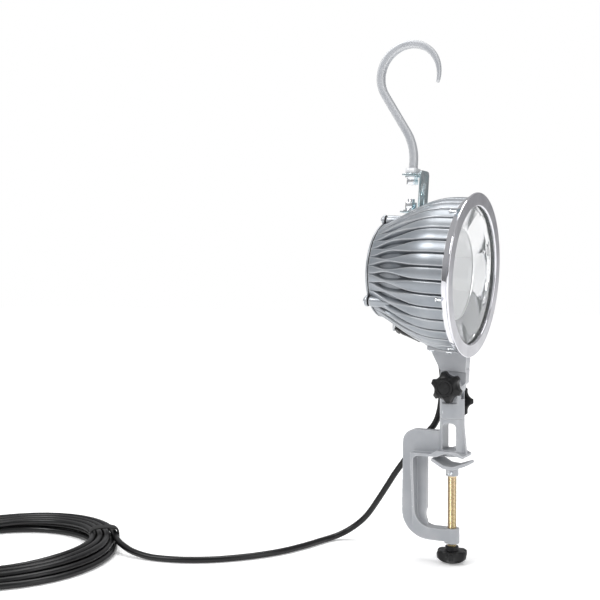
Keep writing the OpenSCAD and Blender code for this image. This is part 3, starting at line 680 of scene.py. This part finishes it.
def housing_point(s, a):
    """Point on the finned skin at s along it and angle a from the top towards -Y."""
    r0 = body_r(s)
    pitch = 2 * math.pi / RIBS
    u = ((a / pitch) + 0.5) % 1.0 - 0.5
    off = abs(abs(u) - 0.5) * pitch * r0
    w = groove_width(s)
    g = max(0.0, 1 - (off / w) ** 2) ** 1.25
    crown = 0.35 + 1.5 * ease((s - 6) / 22) * (1 - 0.72 * ease((s - 34) / 34))
    r = r0 - groove_depth(s) * g - crown * (2 * abs(u)) ** 2.2
    lip = ease((1.2 - s) / 1.2)
    r = r * (1 - lip) + (r0 - 0.6) * lip
    x, y, z = REAR + s, -r * math.sin(a), r * math.cos(a)
    if z > POCKET_Z and abs(y) < POCKET_Y and 1.0 < s < POCKET_END:
        z = POCKET_Z
    return (x, y, AXIS + z)


s_rows = ([0, 0.5, 1.05, 1.6, 2.4, 3.5] + list(np.linspace(5, 43, 25))
          + [POCKET_END - 0.05, POCKET_END + 0.15] + list(np.linspace(45.5, 96, 31))
          + [96.6, BODY_LONG])
cols = RIBS * RIB_COLUMNS
hv = []
for s in s_rows:
    for k in range(cols):
        hv.append(housing_point(s, 2 * math.pi * k / cols))
rows = len(s_rows)
inner = [(BODY_LONG, 82.0), (80, 78.5), (60, 74), (40, 68), (20, 58.5), (6, 51.5), (0, 50.0)]
for s, r in inner:
    for k in range(cols):
        a = 2 * math.pi * k / cols
        z = r * math.cos(a)
        if z > 60 and abs(r * math.sin(a)) < 16 and s < 46:
            z = 60
        hv.append((REAR + s, -r * math.sin(a), AXIS + z))
hf = grid_faces(rows + len(inner), cols)
end = rows + len(inner) - 1
hf += [(end * cols + k, end * cols + (k + 1) % cols, (k + 1) % cols, k) for k in range(cols)]
piece("lamp_housing", hv, hf, FINS, "head", ("housing",), head, angle=50, close=False)

LUGS = [math.radians(a) for a in (8, 128, 248)]


def lug_place(a, radius=57.0):
    """Placement about a lug's own line: h is the head frame's x."""
    cy, cz = -radius * math.sin(a), AXIS + radius * math.cos(a)
    return lambda x, y, h: head((h, cy + x * math.cos(a) + y * math.sin(a),
                                 cz + x * math.sin(a) - y * math.cos(a)))


LUG = rounded([(TINY, REAR + 34), (3.0, REAR + 33), (5.2, REAR + 26), (6.1, REAR + 14),
               (6.3, REAR + 0.1), (TINY, REAR + 0.1)], 3.0, 5)
joined("housing_lugs", [lathe(LUG, 40, lug_place(a)) for a in LUGS], FINS, "head")

COVER = rounded([(TINY, REAR - 6.2), (18, REAR - 6.0), (30, REAR - 5.5), (45, REAR - 4.6),
                 (52.6, REAR - 3.9), (54.6, REAR - 2.4), (54.6, REAR - 0.85),
                 (TINY, REAR - 0.85)], 1.6, 5)
EAR = rounded([(TINY, REAR - 4.7), (5.4, REAR - 4.7), (6.5, REAR - 3.6), (6.5, REAR - 0.85),
               (TINY, REAR - 0.85)], 0.9, 4)
joined("rear_cover_disc",
       [lathe(COVER, 160, along_lamp)] + [lathe(EAR, 48, lug_place(a)) for a in LUGS],
       FINS, "head", ("rear_cover",))


def pan_head(place, h0, height, radius):
    """A pan-head screw's head with a cross recess. It starts at h0 and rises towards lower h."""
    rows, sides = [(radius * 0.96, h0)], 48
    for i in range(8):
        t = i / 8 * math.pi / 2
        rows.append((radius * math.cos(t) ** 0.55, h0 - height * math.sin(t) ** 0.9))
    rows.append((TINY, h0 - height))
    dense = []
    for (r0, z0), (r1, z1) in zip(rows, rows[1:]):
        for j in range(3):
            dense.append((r0 + (r1 - r0) * j / 3, z0 + (z1 - z0) * j / 3))
    dense.append(rows[-1])
    arm, reach = radius * 0.14, radius * 0.55
    sink = min(height * 0.6, radius * 0.35)
    verts = []
    for r, h in dense:
        for k in range(sides):
            a = 2 * math.pi * k / sides
            x, y = r * math.cos(a), r * math.sin(a)
            cross = (abs(x) < arm and abs(y) < reach) or (abs(y) < arm and abs(x) < reach)
            verts.append(place(x, y, h + sink if cross else h))
    return verts, grid_faces(len(dense), sides) + [tuple(range(sides))]


joined("rear_screws", [pan_head(lug_place(a), REAR - 4.7, 2.3, 4.0) for a in LUGS], ZINC, "head",
       ("rear_cover_screws",))
RING_SCREWS = [lug_place(math.radians(a), 86.2) for a in (39, 108, 159, 219, 288, 339)]
joined("rim_screws", [pan_head(p, 4.6, 2.1, 2.6) for p in RING_SCREWS]
       + [lathe([(1.4, 4.4), (1.4, 9.6)], 24, p) for p in RING_SCREWS],
       ZINC, "head", ("ring_screws",))

# front ring: a polished cone outside, a broad flat face and a rolled inner lip
ring_profile = rounded([(82.6, 9.5), (86.3, 9.5), (86.6, 10.2), (90.4, 16.2), (91.4, 16.9),
                        (91.5, 18.0), (90.9, 18.9), (90.2, 19.0), (79.2, 18.7), (78.4, 19.0),
                        (77.2, 18.9), (76.5, 18.0), (76.5, 16.2), (82.6, 16.1), (82.6, 9.5)],
                       0.5, 3)
RING_SIDES = 256
ring_verts = []
for r, h in ring_profile:
    for k in range(RING_SIDES):
        a = 2 * math.pi * k / RING_SIDES
        ring_verts.append(along_lamp(r * math.cos(a), r * math.sin(a), h))
ring = piece("front_rim", ring_verts, grid_faces(len(ring_profile), RING_SIDES), CHROME, "head",
             ("front_ring",))
ring.data.materials.append(RIM_FACE)
forward = Vector((math.cos(TILT), 0, -math.sin(TILT)))
for poly in ring.data.polygons:
    poly.material_index = int(poly.normal.dot(forward) > 0.93)


def octagon(a, blend):
    """Radius factor of an eight-sided bowl, its edges between the level and upright lines."""
    step = math.pi / 4
    off = ((a + step / 2) % step) - step / 2
    return (1 - blend) + blend * math.cos(step / 2) / math.cos(off)


BOWL_R = 76.9
BOWL_SIDES = 128


def panelled(name, rows, mat, node, thick):
    """A bowl about the lamp's axis from (radius, x, how flat its eight sides are)."""
    verts = []
    for r, h, f in rows:
        for k in range(BOWL_SIDES):
            a = 2 * math.pi * k / BOWL_SIDES
            rr = min(BOWL_R, r * octagon(a, f) * (1 + 0.06 * f))
            verts.append(along_lamp(rr * math.cos(a), rr * math.sin(a), h))
    obj = piece(name, verts, grid_faces(len(rows), BOWL_SIDES), mat, "head", (node,),
                angle=9, close=False)
    solid = obj.modifiers.new("solid", "SOLIDIFY")
    solid.thickness = thick * MM
    apply(obj)
    finish_mesh(obj, 9)


panelled("reflector_bowl", [(BOWL_R, 12.2, 0.0), (76.7, 11.2, 0.0), (76.2, 10.0, 0.5),
                            (74.6, 8.2, 1.0), (69.0, 5.6, 1.0), (63.5, 3.6, 1.0), (58.0, 1.8, 0.9),
                            (53.5, 0.4, 0.55), (51.4, -0.2, 0.0), (50.9, -0.7, 0.0),
                            (50.9, -1.3, 0.0)], BRIGHT, "reflector", 0.8)
panelled("reflector_inner_cup", [(53.0, -1.6, 0.0), (51.6, -1.9, 0.0), (50.6, -2.6, 0.5),
                                 (49.4, -6.0, 1.0), (47.4, -16.0, 1.0), (45.4, -26.0, 1.0),
                                 (43.8, -34.0, 1.0), (41.6, -36.4, 1.0), (30.0, -37.2, 0.6),
                                 (15.0, -37.4, 0.0)], WHITE, "reflector_cup", 1.0)

# ---------------------------------------------------------------- gland and boot

def gland_place(x, y, h):
    """Lathe placement about the gland's line."""
    return on_gland(h, x, y)


def hexagon(r, h, a):
    """Six flats on the nut's part of the gland."""
    off = (a + math.pi / 6) % (math.pi / 3) - math.pi / 6
    return r / math.cos(off) if 2.4 < h < 8.2 and r > 7 else r


gv, gf = lathe(rounded([(TINY, 2.0), (7.6, 2.0), (8.6, 2.8), (8.6, 7.6), (7.6, 8.6), (7.4, 9.2),
                        (8.3, 9.8), (8.3, 12.2), (TINY, 12.2)], 0.5, 3), 48, gland_place, hexagon)
piece("cord_gland_nut", gv, gf, KNOB, "head", ("cord_gland",))
boot_rows = []
for i in range(61):
    l = 12.0 + 22.0 * i / 60
    r = 8.3 - 3.0 * (i / 60) ** 0.9
    if 8 < i < 54 and i % 6 in (0, 1, 2):
        r -= 0.55
    boot_rows.append((r, l))
bv, bf = lathe(boot_rows, 40, gland_place)
piece("cord_entry_boot", bv, bf, RUBBER, "head", ("cord_boot",))
neck = [(REAR + 0.1, 84), (REAR + 0.1, 55.5), (-86.2, 52.1), (-77.9, 69.5), (-72, 77), (-78, 90)]
nv = [(x, y, z) for y in (26.5, 45.5) for x, z in neck]
nf = [tuple(range(6)), tuple(range(11, 5, -1))] + [
    (i, i + 6, (i + 1) % 6 + 6, (i + 1) % 6) for i in range(6)]
neck_obj = piece("gland_neck", nv, nf, FINS, "head", (), head)
bev = neck_obj.modifiers.new("bevel", "BEVEL")
bev.width, bev.segments, bev.limit_method = 0.0028, 4, "NONE"
apply(neck_obj)
finish_mesh(neck_obj)

# ---------------------------------------------------------------- castings of the clamp

from_cad("clamp_casting", "clamp_frame", CAST, "clamp", 0.5, 5, ratio=0.45)
from_cad("saddle_casting", "saddle_jaw", CAST, "jaw", 0.4, 4)
from_cad("collar_casting", "pan_collar", CAST, "collar", 0.45, 3)
from_cad("leg_casting", "support_leg", CAST, "head", 0.5, 4)

# ---------------------------------------------------------------- knobs


KNOB_R = 18.0
HUB_R = 8.4
# the notches between the lobes: their radius, how far out they stand, how soft their edges are
NOTCH_R, NOTCH_AT, SOFT = 8.4, 21.5, 0.9


def star_profile(hub, lobe, dome):
    """Half section of a knob: its hub, the depth of its lobes and its domed face."""
    rim, top = KNOB_R, hub + lobe
    return rounded([(TINY, 0), (7.5, 0), (7.7, hub), (rim - 2.2, hub + 0.1),
                    (rim - 0.3, hub + 1.8), (rim, hub + lobe * 0.45), (rim - 0.6, top - 2.6),
                    (rim - 3.0, top - 0.3), (12.4, top + dome * 0.75), (10.4, top + dome),
                    (9.9, top + dome - 0.5), (TINY, top + dome - 0.5)], 1.0, 4)


def knob(name, place, hub, lobe, dome, turn, body, node):
    """A six-lobed knob and the button in its face."""
    def star(r, h, a):
        if r < HUB_R or h < hub * 0.8:
            return r
        u = (a - turn - math.pi / 6) % (math.pi / 3)
        off = min(u, math.pi / 3 - u)
        reach = NOTCH_R ** 2 - (NOTCH_AT * math.sin(off)) ** 2
        bite = NOTCH_AT * math.cos(off) - math.sqrt(reach) if reach > 0 else 99.0
        edge = bite + SOFT - (KNOB_R - r) * 0.55
        if abs(edge - r) > SOFT:
            return min(edge, r)
        return r - (r + SOFT - edge) ** 2 / (4 * SOFT)
    v, f = lathe(star_profile(hub, lobe, dome), 192, place, star)
    piece(name, v, f, KNOB, body, (node,), angle=50)
    face = hub + lobe + dome
    top = face + 0.7
    cap = rounded([(TINY, face - 1.0), (9.6, face - 1.0), (9.6, top - 0.35), (9.0, top),
                   (7.4, top - 0.05), (7.1, top - 0.5), (6.7, top - 0.5), (6.4, top + 0.1),
                   (5.0, top + 0.35), (TINY, top + 0.45)], 0.35, 3)
    v, f = lathe(cap, 96, place)
    piece(name + "_button", v, f, KNOB, body, (node + "_cap",))


knob("clamp_star_knob", lambda x, y, h: (x, -y, -101 - h), 4.5, 11.0, 2.2, math.radians(15),
     "clamp_screw", "clamp_knob")
knob("tilt_star_knob", lambda x, y, h: (x, -11.25 - h, PIVOT + y), 2.2, 12.0, 2.4,
     math.radians(40), "tilt_knob", "tilt_knob")
knob("pan_star_knob", lambda x, y, h: (x, 14.1 + h, 60 + y), 3.7, 7.6, 1.8, 0.0, "pan_knob",
     "pan_knob")

# ---------------------------------------------------------------- clamp screw with its thread

ROD_FROM, ROD_TO, ROD_STEP, ROD_SIDES = -111.0, -15.0, 0.25, 36
THREAD_FROM, THREAD_TO, PITCH, THREAD_DEPTH = -104, -24, 1.5, 0.42
ROD_R = 5.0

rod_z = [ROD_FROM + ROD_STEP * i for i in range(int((ROD_TO - ROD_FROM) / ROD_STEP) + 1)]
rod_verts = []
for z in rod_z:
    end_in = ease((ROD_TO - z) / 1.2) * 0.9 + 0.1
    for k in range(ROD_SIDES):
        a = 2 * math.pi * k / ROD_SIDES
        ph = (z / PITCH - a / (2 * math.pi)) % 1.0
        tri = 1 - abs(2 * ph - 1)
        depth = THREAD_DEPTH * (1 - ease(tri * 1.5)) if THREAD_FROM < z < THREAD_TO else 0.0
        r = ROD_R - depth - 0.8 * (1 - end_in)
        rod_verts.append((r * math.cos(a), r * math.sin(a), z))
piece("threaded_rod", rod_verts, capped(len(rod_z), ROD_SIDES), YELLOW, "clamp_screw",
      ("clamp_screw",), angle=60)

# ---------------------------------------------------------------- hook

# the bow's radius, the bar's width and thickness, the bow's middle and the tip's angle; below the
# bow a straight leans by BEND and an arc of BEND_R brings it upright over the bolt
HOOK_R, HOOK_W, HOOK_T = 36.4, 8.4, 9.3
BOLT_X, BEND_R, BEND = -62.5, 60.0, math.radians(35)
HC = (-72.5, 346.3)
TIP = math.radians(-13)
hook_line = []
for i in range(61):
    a = TIP + (math.pi + BEND - TIP) * i / 60
    hook_line.append((HC[0] + HOOK_R * math.cos(a), HC[1] + HOOK_R * math.sin(a)))
top = (HC[0] - HOOK_R * math.cos(BEND), HC[1] - HOOK_R * math.sin(BEND))
stem_l = (BOLT_X - BEND_R * (1 - math.cos(BEND)) - top[0]) / math.sin(BEND)
for i in range(1, 9):
    hook_line.append((top[0] + math.sin(BEND) * stem_l * i / 9,
                      top[1] - math.cos(BEND) * stem_l * i / 9))
bc = (BOLT_X - BEND_R, top[1] - math.cos(BEND) * stem_l - BEND_R * math.sin(BEND))
for i in range(13):
    a = BEND * (1 - i / 12)
    hook_line.append((bc[0] + BEND_R * math.cos(a), bc[1] + BEND_R * math.sin(a)))
for z in np.linspace(bc[1], 240, 7)[1:]:
    hook_line.append((BOLT_X, float(z)))
hook_path = np.array([head((x, 0, z)) for x, z in hook_line])
n = len(hook_path)
t = np.gradient(hook_path, axis=0)
t /= np.linalg.norm(t, axis=1)[:, None]
HOOK_SIDES, FOOT_SIDES = 32, 48
bar = []
for i in range(n):
    side = np.cross(t[i], [0, 1.0, 0])
    side /= np.linalg.norm(side)
    thin = ease((i + 2) / 26) if i < 24 else 1.0
    width = HOOK_W * (0.34 + 0.66 * thin)
    depth = HOOK_T * (0.52 + 0.48 * ease((i + 3) / 24) if i < 21 else 1.0)
    cap = 0.82 if i in (0, n - 1) else 1.0
    for k in range(HOOK_SIDES):
        c, s = squared(2 * math.pi * k / HOOK_SIDES, 7)
        # the outer edge keeps its curve to the tip
        x = width / 2 * cap * c + (HOOK_W - width) / 2
        bar.append(tuple(hook_path[i] + side * x + np.array([0, depth / 2 * cap * s, 0])))
FOOT = [(6.0, 8.0, 236.05), (6.5, 8.5, 236.5), (6.5, 8.5, 241.3), (6.1, 8.1, 241.9),
        (4.6, 5.2, 242.1), (4.3, 4.75, 242.9), (3.9, 4.3, 243.4)]
foot = []
for w, d, z in FOOT:
    for k in range(FOOT_SIDES):
        c, s = squared(2 * math.pi * k / FOOT_SIDES, 9)
        foot.append(head((BOLT_X + w * c, d * s, z)))
joined("hanging_hook", [(bar, capped(n, HOOK_SIDES)), (foot, capped(len(FOOT), FOOT_SIDES))],
       CAST, "hook", ("hook",), angle=45)

# ---------------------------------------------------------------- small parts from the CAD

for name, node, mat, body, width in (
        ("bracket_plate", "hook_bracket", BLUE_ZINC, "head", 0.35),
        ("bracket_hex", "bracket_bolt", ZINC, "head", 0.35),
        ("bracket_flat_washers", "bracket_washers", ZINC, "head", 0.2),
        ("hook_hex", "hook_bolt", ZINC, "hook", 0.35),
        ("hook_flat_washers", "hook_washers", ZINC, "hook", 0.2),
        ("pivot_bolt", "tilt_bolt", ZINC, "collar", 0.35),
        ("pivot_washers", "tilt_washers", ZINC, "collar", 0.2)):
    from_cad(name, node, mat, body, bevel=width)


def leg_place(cx, cy):
    """Placement about a leg screw's line: h is the height above the pivot."""
    return lambda x, y, h: head((cx + x, cy + y, h))


def saddle_place(x, y, h):
    """Placement about the saddle screw's line: h is the row frame's y."""
    return (x, h, -17.8 + y)


LEG_SCREWS = [leg_place(cx, cy) for cx in (-23.5, -3.0) for cy in (-8.5, 8.5)]
joined("leg_pan_screws", [pan_head(p, 38.4, 2.3, 4.2) for p in LEG_SCREWS]
       + [lathe([(2.5, 38.3), (2.5, 47.0)], 24, p) for p in LEG_SCREWS],
       ZINC, "head", ("leg_screws",))
joined("saddle_pan_screw", [pan_head(saddle_place, -7.15, 2.3, 3.15),
                            lathe([(1.6, -7.2), (1.6, -4.3)], 20, saddle_place)],
       ZINC, "jaw", ("saddle_screw",))

for node, mat in {
        "front_glass": GLASS, "glass_gasket": SEAL, "rear_gasket": SEAL, "lamp_bulb": WHITE,
        "lamp_base": CERAMIC, "lampholder": CERAMIC, "holder_bracket": ZINC,
        "driver_board": BOARD, "terminal_block": PALE, "pan_stud": ZINC,
        "plug_pins": PINS}.items():
    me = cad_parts[node].data
    me.materials.clear()
    me.materials.append(mat)

# ---------------------------------------------------------------- floor and light

FLOOR_HALF_M = 8.0
floor = bpy.data.meshes.new("floor")
floor.from_pydata([(x * FLOOR_HALF_M, y * FLOOR_HALF_M, 0)
                   for x, y in ((-1, -1), (1, -1), (1, 1), (-1, 1))], [], [(0, 1, 2, 3)])
floor_obj = bpy.data.objects.new("floor", floor)
bpy.context.scene.collection.objects.link(floor_obj)
floor_obj.location = (0, 0, FLOOR * MM - 0.0002)
paper = Nodes("floor_paper", Roughness=0.9)
paper.color(paper.mix(paper.noise(3, 2), (0.93, 0.93, 0.93), (0.95, 0.95, 0.95)))
paper.bsdf.inputs["Emission Color"].default_value = (1, 1, 1, 1)
# the paper glows more the further it is from the object, so it ends in white
away = paper.node("ShaderNodeVectorMath", operation="LENGTH")
paper.link(paper.coord, away.inputs[0])
glow = paper.node("ShaderNodeMapRange")
for key, value in (("From Min", 0.5), ("From Max", 2.6), ("To Min", 0.24), ("To Max", 0.62)):
    glow.inputs[key].default_value = value
paper.link(away.outputs["Value"], glow.inputs["Value"])
paper.link(glow.outputs[0], paper.bsdf.inputs["Emission Strength"])
floor.materials.append(paper.mat)

# the object sees a studio that shades from floor to ceiling, and the camera sees plain white
world = bpy.data.worlds.new("studio")
bpy.context.scene.world = world
world.use_nodes = True
wt = world.node_tree
coord = wt.nodes.new("ShaderNodeTexCoord")
split = wt.nodes.new("ShaderNodeSeparateXYZ")
wt.links.new(coord.outputs["Generated"], split.inputs[0])
rise = wt.nodes.new("ShaderNodeValToRGB")
for at, grey in ((0.30, 0.62), (0.50, 0.42), (0.60, 0.80)):
    e = rise.color_ramp.elements.new(at)
    e.color = (grey, grey, grey * 1.02, 1)
rise.color_ramp.elements[0].color = (0.85, 0.85, 0.86, 1)
rise.color_ramp.elements[-1].color = (1.0, 1.0, 1.0, 1)
half = wt.nodes.new("ShaderNodeMath")
half.operation = "MULTIPLY_ADD"
half.inputs[1].default_value = 0.5
half.inputs[2].default_value = 0.5
wt.links.new(split.outputs["Z"], half.inputs[0])
wt.links.new(half.outputs[0], rise.inputs[0])
room = wt.nodes["Background"]
wt.links.new(rise.outputs[0], room.inputs[0])
room.inputs[1].default_value = 0.52
seen = wt.nodes.new("ShaderNodeBackground")
seen.inputs[0].default_value = (1, 1, 1, 1)
pick = wt.nodes.new("ShaderNodeMixShader")
ray = wt.nodes.new("ShaderNodeLightPath")
wt.links.new(ray.outputs["Is Camera Ray"], pick.inputs[0])
wt.links.new(room.outputs[0], pick.inputs[1])
wt.links.new(seen.outputs[0], pick.inputs[2])
wt.links.new(pick.outputs[0], wt.nodes["World Output"].inputs[0])


def area(name, loc, aim, w, h, power):
    """A soft light at a point, aimed at another, in metres and watts."""
    data = bpy.data.lights.new(name, "AREA")
    data.shape = "RECTANGLE"
    data.size, data.size_y = w, h
    data.energy = power
    o = bpy.data.objects.new(name, data)
    o.location = loc
    o.rotation_euler = (Vector(aim) - Vector(loc)).to_track_quat("-Z", "Y").to_euler()
    bpy.context.scene.collection.objects.link(o)


area("key", (-1.1, -1.6, 1.7), (-0.05, 0, 0.15), 0.9, 0.9, 24)
area("side", (1.9, -0.5, 0.7), (0, 0, 0.15), 0.7, 1.3, 9)
area("over", (-0.2, 0.3, 2.0), (-0.2, -0.05, 0.0), 1.6, 1.2, 24)
bpy.context.scene.view_settings.view_transform = "Standard"
